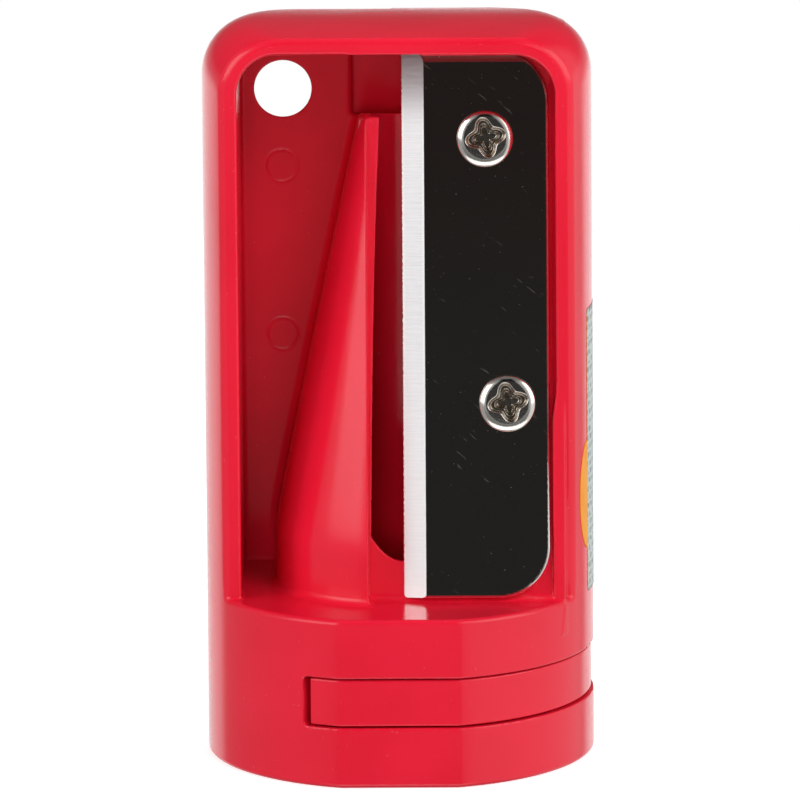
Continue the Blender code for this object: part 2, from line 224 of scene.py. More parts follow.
# painted shade: the ground strip's upper end darkened, as where it reflects the red rim
GROUND_TOP_PAINTED_SHADE = (0.38, 0.34, 0.35)
PLATING = ((0.78, 0.74, 0.68), (0.86, 0.83, 0.78))
CROSS_DEPTH_DARK = (0.30, 0.24, 0.18)
PAPER_GREY = (0.50, 0.56, 0.53)
PAPER_MOTTLE = (0.5, 0.5, 0.48)
PRINT_DARK = (0.08, 0.09, 0.09)
PRINT_ORANGES = ((0.80, 0.27, 0.008), (0.84, 0.33, 0.012))
FLOOR_GREYS = ((0.90, 0.90, 0.90), (0.94, 0.94, 0.94))
WHITE = (1.0, 1.0, 1.0)

# The camera, as the photograph was taken
CAMERA_AIM = (0.099, 0.0, 34.833)
CAMERA_DISTANCE = 1200.0
CAMERA_TURN = math.radians(0.614)
CAMERA_PITCH = math.radians(12.014)
CAMERA_ROLL = math.radians(-0.432)
SENSOR_WIDTH = 36.0
FOCAL_LENGTH = 550.1
CLIPPING = (0.05, 20.0)  # in metres

# The studio. Azimuths run from the front towards +X and heights up from level, in degrees.
FLOOR_RADIUS = 260.0
FLOOR_DROP = 0.05
FLOOR_GLOW = 0.6
SKY = 0.37
PATCHES = (  # azimuths, heights, soft margin, what it adds
    ((-66, -40), (10, 38), 8, 2.1),
    ((45, 130), (-40, 45), 14, 0.38),
    ((50, 84), (8, 44), 8, 1.3),
    ((150, 190), (-40, -9), 10, 0.85),
    ((-190, -138), (-40, -9), 10, 0.78),
    ((-34, 34), (-30, -9), 12, -0.18),
    ((-18, 18), (1.5, 55), 4, -0.335),
    ((-200, 200), (62, 91), 25, -0.2),
    ((120, 200), (9, 60), 8, -0.26),
    ((-200, -120), (9, 60), 8, -0.26),
    ((-45, 45), (-54, -34), 8, 1.2),
)
LIGHTS = (  # name, place, size, power
    ("front_key", (105, -185, 215), (120, 90), 0.265),
    ("front_fill", (-40, -900, 170), (160, 160), 1.35),
    ("top_softbox", (0, 85, 215), (70, 70), 0.09),
    ("right_fill", (820, -300, 330), (300, 500), 1.2),
    ("left_fill", (-840, -260, 330), (300, 500), 3.3),
)


def rmax(a, b, r):
    """Where two solids meet, with a convex round of this radius along the edge."""
    return np.minimum(-r, np.maximum(a, b)) + np.sqrt(
        np.maximum(a + r, 0) ** 2 + np.maximum(b + r, 0) ** 2
    )


def rmin(a, b, r):
    """Two solids joined, with a fillet of this radius in the corner between them."""
    return -rmax(-a, -b, r)


def smooth(low, high, value):
    t = np.clip((value - low) / (high - low), 0, 1)
    return t * t * (3 - 2 * t)


def rounded_box(u, v, half_u, half_v, radius):
    """The distance to a rectangle with rounded corners, about the origin."""
    a = np.abs(u) - half_u + radius
    b = np.abs(v) - half_v + radius
    return np.hypot(np.maximum(a, 0), np.maximum(b, 0)) + np.minimum(np.maximum(a, b), 0) - radius


def seat_y(z):
    return SEAT_FOOT[0] + math.tan(SEAT_TILT) * (z - SEAT_FOOT[1])


def seat_matrix(x, z, lift):
    """Local x, up the seat and out of it, for a piece whose foot is at this place."""
    sine, cosine = math.sin(SEAT_TILT), math.cos(SEAT_TILT)
    turn = Matrix(((1, 0, 0), (0, sine, -cosine), (0, cosine, sine)))
    along = (z - SEAT_FOOT[1]) / cosine
    origin = Vector((x, *SEAT_FOOT)) + turn @ Vector((0, along, lift))
    return Matrix.Translation(origin * MM) @ turn.to_4x4()


def body_outside(x, y, z):
    rho = np.hypot(x, y)
    column = rmax(rho - BODY_RADIUS, np.abs(y) - FLAT_DISTANCE, ROUND["flat"])
    crown = np.hypot(y, z - CROWN_HEIGHT + CROWN_RADIUS) - CROWN_RADIUS
    column = rmax(column, crown, CORNER_RADIUS)
    return rmax(column, -z, ROUND["foot"])


def body_space(x, y, z):
    """What is open above the ledge: in front of the rim, and the pocket."""
    lower, step_start, step_end = POCKET_DRAFT
    top = POCKET_TOP - lower * smooth(step_start, step_end, x)
    middle = (top + BASE_HEIGHT) / 2 - POCKET_DROP
    pocket = rounded_box(x, z - middle, POCKET_HALF, top - middle, POCKET_CORNER)
    radius, depth, width = EJECTOR_RING
    marks = 0.0
    for mark_x, mark_z in EJECTOR_MARKS:
        ring = np.abs(np.hypot(x - mark_x, z - mark_z) - radius)
        marks = marks + depth * np.exp(-((ring / width) ** 2))
    pocket = rmax(pocket, y - POCKET_FLOOR - marks, ROUND["pocket_floor"])
    space = rmin(y - FRONT_PLANE, pocket, ROUND["pocket_front"])
    return rmax(space, BASE_HEIGHT - z, ROUND["ledge"])


def guide_and_seat(x, y, z):
    seat = (seat_y(z) - y) * math.cos(SEAT_TILT)
    radius = GUIDE_RADIUS - GUIDE_SLOPE * rmax(z - THROAT_TOP, 0.0 * z, GUIDE_BLEND)
    cone = (np.hypot(x, np.minimum(y, 0)) - radius) * LEANING
    cone = rmax(cone, z - GUIDE_TOP, ROUND["guide_top"])
    planed = rmax(RIDGE_X - x, -seat, ROUND["ridge_front"])
    cone = rmax(cone, -planed, ROUND["ridge"])
    block = np.maximum(seat, -x)
    block = np.maximum(block, x - RIB[0] - SUNK)
    block = np.maximum(block, z - POCKET_TOP - SUNK)
    inner = np.minimum(cone, block)
    return np.maximum(np.maximum(inner, y - POCKET_FLOOR - WALL_BITE), JOINED_FROM - z)


def rib(x, y, z):
    left, right, top, foot = RIB
    taper, low, high = RIB_TAPER
    front = -foot + (foot + FRONT_PLANE) * (z - BASE_HEIGHT) / (top - BASE_HEIGHT)
    left = left + taper * smooth(low, high, z)
    shape = rmax(front - y, rmax(left - x, x - right, ROUND["rib_side"]), ROUND["rib_front"])
    return np.maximum(np.maximum(shape, z - top - RIB_END), np.maximum(y, JOINED_FROM - z))


def tip_recess(x, y, z):
    left, right, foot, floor = RECESS
    low = foot - RECESS_FALL * np.maximum(y, 0)
    sides = np.maximum(left - x, x - right)
    below = np.maximum((low - z) * FALL_LEAN, y - floor)
    return rmax(np.maximum(sides, z - POCKET_TOP), below, ROUND["recess"])


def pencil_bore(x, y, z, rho):
    """The throat and the cone, with a blunt lip where they break out through the seat."""
    cone = THROAT_RADIUS - BORE_SLOPE * np.maximum(z - THROAT_TOP, 0)
    bore = np.maximum((rho - cone) * BORE_LEAN, z - GUIDE_TOP - SUNK)
    foot, rise, middle, left, lip_radius = SLIT
    right, rear, low, high = SLIT_ZONE
    below = (z - foot - rise * (x - middle) ** 2) * SLIT_LEAN
    lip = np.maximum(np.maximum(lip_radius - rho, below), np.maximum(low - z, y - rear))
    notch = np.maximum(np.maximum(left - x, x - right), np.maximum(rho - cone - SLIT_MARGIN, y - rear))
    notch = np.maximum(np.maximum(notch, -below), z - high)
    return np.minimum(np.maximum(bore, -lip), notch)


def clip_slot(x, y, z, rho):
    low, high, angle = SLOT
    turn = (np.abs(np.arctan2(y, x)) - angle) * BODY_RADIUS
    opening = rmax(turn, np.abs(z - (low + high) / 2) - (high - low) / 2, ROUND["slot_corner"])
    return np.maximum(opening, SLOT_INNER - rho)


def hanging_hole(x, y, z):
    hole_x, hole_z, radius, growth = HOLE
    hole = np.hypot(x - hole_x, z - hole_z) - radius - growth * (y - POCKET_FLOOR)
    return np.maximum(hole, POCKET_FLOOR - HOLE_START - y)


def pilot_hole(x, y, z, screw_x, screw_z):
    """The hole for one screw's shank, square to the seat."""
    up, out = (z - SEAT_FOOT[1], y - SEAT_FOOT[0])
    along = up * math.cos(SEAT_TILT) + out * math.sin(SEAT_TILT)
    along = along - (screw_z - SEAT_FOOT[1]) / math.cos(SEAT_TILT)
    depth = out * math.cos(SEAT_TILT) - up * math.sin(SEAT_TILT)
    return np.maximum(np.hypot(x - screw_x, along) - PILOT[0], depth - PILOT[1])


def body_shape(x, y, z):
    rho = np.hypot(x, y)
    outside = body_outside(x, y, z)
    edge = ROUND["ledge_front"] + ROUND["rim_growth"] * smooth(*RIM_START, z)
    solid = rmax(outside, -body_space(x, y, z), edge)
    behind = rmax(BACK_PLANE - y, BASE_HEIGHT - z, ROUND["rear_step"])
    solid = rmax(solid, -behind, edge)
    inner = np.maximum(guide_and_seat(x, y, z), outside + SKIN)
    solid = rmin(solid, inner, ROUND["guide_foot"])
    solid = rmin(solid, rib(x, y, z), ROUND["rib_foot"])
    recess_edge = ROUND["recess_edge"] + ROUND["recess_growth"] * smooth(*RECESS_DEEPER, y)
    solid = rmax(solid, -tip_recess(x, y, z), recess_edge)
    solid = rmax(solid, -pencil_bore(x, y, z, rho), ROUND["bore"])
    seat = np.maximum(rho - COLLAR[1].x - COLLAR_CLEARANCE, z - SHOULDER_Z)
    solid = rmax(solid, -seat, ROUND["collar_seat"])
    solid = rmax(solid, -clip_slot(x, y, z, rho), ROUND["slot"])
    solid = rmax(solid, -hanging_hole(x, y, z), ROUND["hole"])
    for screw_x, screw_z in SCREWS.values():
        solid = rmax(solid, -pilot_hole(x, y, z, screw_x, screw_z), ROUND["pilot"])
    return solid


def collar_shape(x, y, z):
    (_, _, foot), (radius, _, top) = COLLAR
    rho = np.hypot(x, y)
    ring = rmax(rho - radius, np.abs(z - (foot + top) / 2) - (top - foot) / 2, ROUND["collar"])
    groove = rmax(GROOVE_RADIUS - rho, np.abs(z - GROOVE_MIDDLE) - GROOVE_HALF, ROUND["groove_corner"])
    ring = rmax(ring, -groove, ROUND["groove"])
    half_x, half_y, corner = COLLAR_OPENING
    return rmax(ring, -rounded_box(x, y, half_x, half_y, corner), ROUND["opening"])


def clip_shape(x, y, z):
    (_, _, foot), (radius, flat, top) = CLIP
    foot, top = foot - CLIP_GROWTH, top + CLIP_GROWTH
    rho = np.hypot(x, y)
    end = (np.abs(np.arctan2(y, x)) - SLOT[2]) * BODY_RADIUS + CLIP_END_GAP
    ring = rmax(rho - radius, np.abs(y) - flat, ROUND["flat"])
    section = rmax(np.abs(z - (foot + top) / 2) - (top - foot) / 2, end, ROUND["clip"])
    return rmax(rmax(ring, CLIP_INNER - rho, ROUND["clip"]), section, ROUND["clip"])


def cross_recess(x, y, z, step):
    """One step of a rounded cross, narrower towards its floor."""
    reach, lobe, slope, depth = step
    middle_x, middle_y = CROSS_PLACE
    off, turn = np.hypot(x - middle_x, y - middle_y), np.arctan2(y - middle_y, x - middle_x)
    recess = (off - reach - lobe * np.cos(4 * turn) + slope * (HEAD[1] - z)) * CROSS_LEAN
    return rmax(recess, HEAD[1] - depth - z, ROUND["cross_floor"])


def screw_shape(x, y, z):
    """A pan head with a rounded cross recess, on a threaded shank. Local z runs out of the head."""
    radius, height = HEAD
    fall_from, fall = DOME
    rho = np.hypot(x, y)
    dome = z - height + HEAD_CROWN * rho**2 + fall * np.maximum(rho - fall_from, 0) ** 2
    head = rmax(rmax(rho - radius, dome * DOME_LEAN, ROUND["head"]), -z, ROUND["head"])
    for step in CROSS_STEPS:
        head = rmax(head, -cross_recess(x, y, z, step), ROUND["cross"])
    core, length = SHANK
    pitch, deep = THREAD
    start, full = THREAD_FADE
    point, lean = TAPER
    turn = np.arctan2(y - CROSS_PLACE[1], x - CROSS_PLACE[0])
    wave = np.abs((z / pitch - turn / (2 * math.pi)) % 1.0 - 0.5) * 2
    thread = deep * smooth(0.5, 1.0, wave) * smooth(start - length, full - length, z)
    shaft = (rho - core + deep - thread - np.minimum(0.0, (z + length - point) * lean)) * SHAFT_LEAN
    shaft = np.maximum(rmax(shaft, ROUND["shank_end"] - length - z, ROUND["shank_end"]), z - HEAD_BITE)
    return rmin(head, shaft, ROUND["neck"])


def blade_shape(x, y, z):
    """A plate whose left side is ground down to the edge. Local x runs across it, y up it and z out of it."""
    width, length, thick = BLADE_SIZE
    (drop, reach), (slope, rim) = BLADE_DROP, BLADE_CHAMFER
    corner = np.where(x > width / 2, BLADE_CORNERS[1], BLADE_CORNERS[0])
    outline = rounded_box(x - width / 2, y - length / 2, width / 2, length / 2, corner)
    face = z - thick + drop * np.maximum(y - length + reach, 0) ** 2 + slope * np.maximum(outline + rim, 0)
    plate = rmax(outline, face, ROUND["blade"])
    plate = rmax(plate, -z, ROUND["blade_rear"])
    tilt = math.atan2(thick - EDGE_THICKNESS, GROUND_WIDTH)
    ground = (z - EDGE_THICKNESS) * math.cos(tilt) - x * math.sin(tilt)
    plate = rmax(plate, ground, ROUND["bevel"])
    for screw_x, screw_z in SCREWS.values():
        up = (screw_z - SEAT_FOOT[1]) / math.cos(SEAT_TILT)
        hole = np.hypot(x - screw_x + BLADE_LEFT, y - up) - HOLE_IN_BLADE
        plate = rmax(plate, -hole, ROUND["blade_hole"])
    return plate


def slope_of(shape, points, reach=0.002):
    """The distance's gradient at each point."""
    gradient = np.empty_like(points)
    for axis in range(3):
        step = np.zeros(3)
        step[axis] = reach
        ahead, behind = points + step, points - step
        gradient[:, axis] = (shape(*ahead.T) - shape(*behind.T)) / (2 * reach)
    return gradient


def settled(shape, points, most, rounds=4):
    """The points moved onto the surface."""
    for _ in range(rounds):
        gradient = slope_of(shape, points)
        length = np.maximum((gradient**2).sum(1), LEAST_SLOPE)
        step = (shape(*points.T) / length)[:, None] * gradient
        size = np.linalg.norm(step, axis=1)[:, None]
        points = points - step * np.minimum(1, most / np.maximum(size, 1e-9))
    return points


def grid_line(low, high, step, fine):
    """Places along one axis, closer together inside the fine stretch."""
    start, end, fine_step = fine
    stretches = ((low, start, step), (start, end, fine_step), (end, high, step))
    lines = [np.linspace(a, b, math.ceil((b - a) / size) + 1)[:-1] for a, b, size in stretches if b > a]
    return np.append(np.concatenate(lines), high)


def surface_net(shape, lines):
    """Points and quads along the zero surface of a distance, with points on its sharp edges too."""
    counts = np.array([len(line) for line in lines])
    field = np.empty(counts, np.float32)
    for start in range(0, counts[0], SLAB):
        part = np.meshgrid(lines[0][start : start + SLAB], lines[1], lines[2], indexing="ij")
        field[start : start + SLAB] = shape(*part)
    inside = field < 0
    cells = counts - 1
    filled = np.zeros(cells, np.int8)
    for i, j, k in np.ndindex(2, 2, 2):
        filled += inside[i : i + cells[0], j : j + cells[1], k : k + cells[2]]
    active = (filled > 0) & (filled < 8)
    numbers = np.full(cells, -1, np.int32)
    numbers[active] = np.arange(active.sum())
    quads, owners, places, normals = [], [], [], []
    for axis in range(3):
        b, c = (axis + 1) % 3, (axis + 2) % 3
        ahead = tuple(slice(1, None) if a == axis else slice(None) for a in range(3))
        behind = tuple(slice(0, -1) if a == axis else slice(None) for a in range(3))
        edges = np.argwhere(inside[behind] != inside[ahead])
        ends = edges + np.eye(3, dtype=int)[axis]
        near, far = field[tuple(edges.T)], field[tuple(ends.T)]
        place = np.stack([lines[a][edges[:, a]] for a in range(3)], 1)
        place[:, axis] += near / (near - far) * (lines[axis][ends[:, axis]] - place[:, axis])
        slope = slope_of(shape, place)
        slope /= np.maximum(np.linalg.norm(slope, axis=1)[:, None], 1e-6)
        ring = []
        for back_b, back_c in ((1, 1), (0, 1), (0, 0), (1, 0)):
            cell = edges.copy()
            cell[:, b] -= back_b
            cell[:, c] -= back_c
            ring.append(numbers[tuple(cell.T)])
        owners += ring
        places += [place] * 4
        normals += [slope] * 4
        ring = np.stack(ring, 1)
        quads.append(np.where((near < 0)[:, None], ring, ring[:, ::-1]))
    points = feature_points(np.concatenate(owners), np.concatenate(places), np.concatenate(normals))
    corners = np.argwhere(active)
    low = np.stack([lines[a][corners[:, a]] for a in range(3)], 1)
    high = np.stack([lines[a][corners[:, a] + 1] for a in range(3)], 1)
    return np.clip(points, low, high), np.concatenate(quads)


def feature_points(owners, places, normals):
    """For each cell, the point nearest to all the planes that cross its edges."""
    count = np.bincount(owners)

    def total(values):
        return np.bincount(owners, weights=values)

    middle = np.stack([total(places[:, a]) for a in range(3)], 1) / count[:, None]
    offset = ((places - middle[owners]) * normals).sum(1)
    matrix = np.empty((len(count), 3, 3))
    for a, b in np.ndindex(3, 3):
        matrix[:, a, b] = total(normals[:, a] * normals[:, b]) / count + STAY * (a == b)
    vector = np.stack([total(normals[:, a] * offset) for a in range(3)], 1) / count[:, None]
    return middle + np.linalg.solve(matrix, vector[:, :, None])[:, :, 0]


def mesh_from(name, points, faces):
    """A mesh from points in millimetres and faces that all have as many corners."""
    mesh = bpy.data.meshes.new(name)
    mesh.vertices.add(len(points))
    mesh.vertices.foreach_set("co", (points * MM).astype(np.float32).ravel())
    mesh.loops.add(faces.size)
    mesh.loops.foreach_set("vertex_index", faces.astype(np.int32).ravel())
    mesh.polygons.add(len(faces))
    mesh.polygons.foreach_set("loop_start", np.arange(0, faces.size, faces.shape[1], dtype=np.int32))
    mesh.update(calc_edges=True)
    return mesh


def add_object(name, mesh):
    obj = bpy.data.objects.new(name, mesh)
    bpy.context.scene.collection.objects.link(obj)
    return obj


def baked(obj):
    """The object with its modifiers applied."""
    graph = bpy.context.evaluated_depsgraph_get()
    mesh = bpy.data.meshes.new_from_object(obj.evaluated_get(graph))
    obj.modifiers.clear()
    obj.data = mesh
    return obj


def read_mesh(mesh):
    points = np.empty(len(mesh.vertices) * 3)
    mesh.vertices.foreach_get("co", points)
    loops = np.empty(len(mesh.loops), np.int32)
    mesh.loops.foreach_get("vertex_index", loops)
    return points.reshape(-1, 3) / MM, loops.reshape(-1, 3)


def shade_from(shape, mesh, points, triangles, reach):
    """Takes each corner's normal from the distance, a little inside its own face, so that flats stay flat."""
    middle = points[triangles].mean(1, keepdims=True)
    towards = middle - points[triangles]
    length = np.linalg.norm(towards, axis=2, keepdims=True)
    share = np.minimum(MOST_INWARD, reach / np.maximum(length, 1e-9))
    inward = points[triangles] + towards * share
    normals = slope_of(shape, inward.reshape(-1, 3))
    normals /= np.maximum(np.linalg.norm(normals, axis=1, keepdims=True), 1e-9)
    mesh.polygons.foreach_set("use_smooth", np.ones(len(triangles), bool))
    mesh.normals_split_custom_set(normals)


def shaped(name, shape, box, step, most_triangles, matrix=None, fine=None):
    """A piece whose surface is where the distance is zero."""
    low, high = np.array(box[0]) - MARGIN * step, np.array(box[1]) + MARGIN * step
    fine = fine or {}
    lines = [grid_line(low[a], high[a], step, fine.get(a, (high[a], high[a], step))) for a in range(3)]
    points, quads = surface_net(shape, lines)
    points = settled(shape, points, step)
    obj = add_object(name, mesh_from(name, points, quads))
    share = most_triangles / (2 * len(quads))
    if share < 1:
        thinner = obj.modifiers.new("thinner", "DECIMATE")
        thinner.ratio = share
        thinner.use_collapse_triangulate = True
    else:
        obj.modifiers.new("triangles", "TRIANGULATE")
    baked(obj)
    points, triangles = read_mesh(obj.data)
    points = settled(shape, points, step / 4, rounds=2)
    obj.data.vertices.foreach_set("co", (points * MM).astype(np.float32).ravel())
    shade_from(shape, obj.data, points, triangles, INWARD)
    if matrix is not None:
        obj.matrix_world = matrix
    return obj


class Nodes:
    """Short calls for adding nodes to a tree. Vectors are in millimetres."""

    def __init__(self, owner):
        owner.use_nodes = True
        self.owner = owner
        self.tree = owner.node_tree

    def feed(self, socket, value):
        if isinstance(value, bpy.types.NodeSocket):
            self.tree.links.new(value, socket)
        else:
            socket.default_value = value

    def node(self, kind, inputs=(), **settings):
        made = self.tree.nodes.new("ShaderNode" + kind)
        for key, value in settings.items():
            setattr(made, key, value)
        for key, value in dict(inputs).items():
            self.feed(made.inputs[key], value)
        return made

    def math(self, operation, a, b=0.0, c=0.0):
        return self.node("Math", {0: a, 1: b, 2: c}, operation=operation).outputs[0]

    def range(self, value, low, high, to_low=0.0, to_high=1.0):
        inputs = {0: value, 1: low, 2: high, 3: to_low, 4: to_high}
        return self.node("MapRange", inputs, interpolation_type="SMOOTHSTEP").outputs[0]

    def mix(self, share, a, b):
        made = self.node("Mix", {0: share}, data_type="RGBA")
        for socket, value in ((made.inputs[6], a), (made.inputs[7], b)):
            self.feed(socket, (*value, 1.0) if isinstance(value, tuple) else value)
        return made.outputs[2]


class Surface(Nodes):
    """A Principled material with its place on the piece, in millimetres."""

    def __init__(self, name, **values):
        super().__init__(bpy.data.materials.new(name))
        self.shader = self.tree.nodes["Principled BSDF"]
        for socket, value in values.items():
            self.shader.inputs[socket].default_value = value
        place = self.node("TexCoord").outputs["Object"]
        self.place = self.node("VectorMath", {0: place, "Scale": 1 / MM}, operation="SCALE").outputs[0]

    def stretched(self, where, factors):
        return self.node("VectorMath", {0: where, 1: factors}, operation="MULTIPLY").outputs[0]

    def noise(self, scale, detail=2.0, roughness=0.5, stretch=(1, 1, 1), turn=0.0):
        place = self.place
        if turn:
            inputs = {"Vector": place, "Angle": turn}
            place = self.node("VectorRotate", inputs, rotation_type="Z_AXIS").outputs[0]
        where = self.stretched(place, stretch)
        inputs = {"Vector": where, "Scale": scale, "Detail": detail, "Roughness": roughness}
        return self.node("TexNoise", inputs).outputs["Fac"]

    def set(self, socket, value):
        self.tree.links.new(value, self.shader.inputs[socket])

    def bump(self, height, distance, normal=None):
        """Height runs from 0 to 1, and distance is what 1 stands out by, in millimetres."""
        made = self.node("Bump", {"Height": height, "Distance": distance * MM, "Strength": 1.0})
        if normal is not None:
            self.feed(made.inputs["Normal"], normal)
        return made.outputs[0]


def red_plastic():
    """Glossy moulded plastic with faint clouds, specks and smudges."""
    red = Surface("red_plastic", IOR=1.5)
    cloud = red.noise(0.09, 3.0)
    fine = red.noise(1.7, 3.0, 0.6)
    colour = red.mix(red.range(cloud, 0.35, 0.65), *PLASTIC_REDS)
    specks = red.range(red.noise(2.2, 1.0), 0.74, 0.80, 0.0, 0.5)
    red.set("Base Color", red.mix(specks, colour, PLASTIC_SPECK))
    smudge = red.range(red.noise(0.16, 4.0, 0.6, (1, 1, 0.5)), 0.4, 0.7, 0.0, 0.07)
    rough = red.math("ADD", red.range(fine, 0.3, 0.7, 0.12, 0.19), smudge)
    red.set("Roughness", rough)
    wave = red.bump(red.noise(0.22, 1.0), 0.010)
    red.set("Normal", red.bump(fine, 0.0012, wave))
    return red.owner


def blade_steel():
    """A dark face with dust and scratches, a painted red reflection towards its upper end and painted
    highlights along its rim, and the ground strip along the cutting edge, with painted highlights and a
    painted shade.
    """
    steel = Surface("blade_steel", Metallic=1.0)
    across, up, out = steel.node("SeparateXYZ", {0: steel.place}).outputs
    ground = steel.math("MULTIPLY", steel.range(across, 2.19, 2.22, 1.0, 0.0), steel.range(out, 0.04, 0.09))
    # The rim round the blade, below its top, takes the ground strip's bright grey and roughness: a painted
    # highlight along its edges
    low_rim = steel.range(out, 0.93, 0.975, 1.0, 0.0)
    rim_highlight = steel.math("MULTIPLY", low_rim, steel.range(up, 50.0, 51.0, 1.0, 0.0))
    rough_part = steel.math("MAXIMUM", ground, rim_highlight)
    lines = steel.noise(1.0, 4.0, 0.7, (0.25, 9.0, 0.2))
    cloud = steel.noise(0.25, 3.0)
    dust = steel.range(steel.noise(3.1, 2.0), 0.70, 0.76, 0.0, 0.8)
    scratches = steel.range(steel.noise(0.55, 1.0, 0.5, (1, 7, 1), 0.7), 0.695, 0.745, 0.0, 0.6)
    marks = steel.math("MAXIMUM", dust, steel.math("MULTIPLY", scratches, steel.range(cloud, 0.45, 0.6)))
    # painted reflection: the face turns red-brown towards its upper end, where the red housing shows in it
    face_with_painted_reflection = steel.mix(steel.range(up, 20.0, 50.0), *FACE_AND_PAINTED_RED_REFLECTION)
    face = steel.mix(marks, face_with_painted_reflection, FACE_MARK)
    grey = steel.mix(steel.range(lines, 0.3, 0.7), *GROUND_GREYS)
    # painted highlight: lighter bands along the cutting edge and along the ridge where the ground strip meets
    # the face
    left_edge_highlight = steel.range(across, 0.1, 0.3, 1.0, 0.0)
    ground_edge_highlight = steel.math("MAXIMUM", steel.range(across, 1.95, 2.08), left_edge_highlight)
    grey = steel.mix(ground_edge_highlight, grey, GROUND_EDGE_PAINTED_HIGHLIGHT)
    # painted highlight: the ground strip grows lighter towards its foot
    grey = steel.mix(steel.range(up, 0.0, 34.0, 0.6, 0.0), grey, GROUND_FOOT_PAINTED_HIGHLIGHT)
    # painted shade: the ground strip turns darker towards its upper end, where it reflects the red rim
    grey = steel.mix(steel.range(up, 45.5, 51.5), grey, GROUND_TOP_PAINTED_SHADE)
    steel.set("Base Color", steel.mix(rough_part, face, grey))
    polished = steel.math("MULTIPLY_ADD", marks, 0.25, steel.range(cloud, 0.3, 0.7, 0.05, 0.09))
    honed = steel.range(lines, 0.3, 0.7, 0.30, 0.42)
    mixed = steel.node("Mix", {0: rough_part, 2: polished, 3: honed}).outputs[0]
    steel.set("Roughness", mixed)
    height = steel.math("MULTIPLY", lines, steel.math("MULTIPLY_ADD", ground, 0.96, 0.04))
    steel.set("Normal", steel.bump(height, 0.004))
    return steel.owner


def plated_steel():
    """Bright plating, darker and rougher deeper inside the cross."""
    plate = Surface("plated_steel", Metallic=1.0)
    across, up, out = plate.node("SeparateXYZ", {0: plate.place}).outputs
    middle = plate.node("CombineXYZ", {0: across, 1: up}).outputs[0]
    radius = plate.node("VectorMath", {0: middle}, operation="LENGTH").outputs["Value"]
    depth = plate.range(out, HEAD[1] - 0.5, HEAD[1] - 0.12, 1.0, 0.0)
    inside = plate.math("MULTIPLY", plate.range(radius, 2.0, 2.1, 1.0, 0.0), depth)
    # the plating grows darker, in patches, deeper inside the cross
    cross_depth_darkening = plate.math("MULTIPLY", inside, plate.range(plate.noise(2.5, 3.0), 0.3, 0.6, 0.35, 1.0))
    fine = plate.noise(5.0, 3.0, 0.6)
    bright = plate.mix(fine, *PLATING)
    plate.set("Base Color", plate.mix(cross_depth_darkening, bright, CROSS_DEPTH_DARK))
    rough = plate.math("MULTIPLY_ADD", cross_depth_darkening, 0.14, plate.range(fine, 0.3, 0.7, 0.10, 0.17))
    plate.set("Roughness", rough)
    plate.set("Normal", plate.bump(fine, 0.004))
    return plate.owner


def label_paper():
    """A generic print: an orange half oval in front, then rows of dark marks on grey, with no lettering."""
    paper = Surface("label_paper", IOR=1.38)
    x, y, z = paper.node("SeparateXYZ", {0: paper.place}).outputs
    along = paper.math("MULTIPLY", paper.math("ARCTAN2", y, x), BODY_RADIUS)
    edge = LABEL[2] * BODY_RADIUS
    tab = paper.range(along, edge - 0.04, edge + 0.06, 1.0, 0.0)
    flat = paper.node("CombineXYZ", {0: along, 1: z}).outputs[0]
    sizes = {"Scale": 1.0, "Mortar Size": 0.16, "Brick Width": 1.3, "Row Height": 0.85}
    bricks = paper.node("TexBrick", {"Vector": flat, **sizes}, offset=0.37).outputs["Fac"]
    inputs = {"Vector": paper.stretched(flat, (2.1, 1.17, 1)), "Scale": 1.0}
    gaps = paper.range(paper.node("TexNoise", inputs).outputs["Fac"], 0.44, 0.52)
    marks = paper.math("MULTIPLY", paper.math("SUBTRACT", 1.0, bricks), gaps)
    printed = paper.mix(paper.math("MULTIPLY", marks, 0.7), PAPER_GREY, PRINT_DARK)
    mottle = paper.range(paper.noise(0.5, 3.0), 0.3, 0.7, 0.0, 0.12)
    printed = paper.mix(mottle, printed, PAPER_MOTTLE)
    cloud = paper.range(paper.noise(0.4, 2.0), 0.3, 0.7)
    orange = paper.mix(cloud, *PRINT_ORANGES)
    paper.set("Base Color", paper.mix(tab, printed, orange))
    fibre = paper.noise(4.0, 4.0, 0.6)
    paper.set("Roughness", paper.range(fibre, 0.3, 0.7, 0.4, 0.55))
    paper.set("Normal", paper.bump(fibre, 0.004))
    return paper.owner


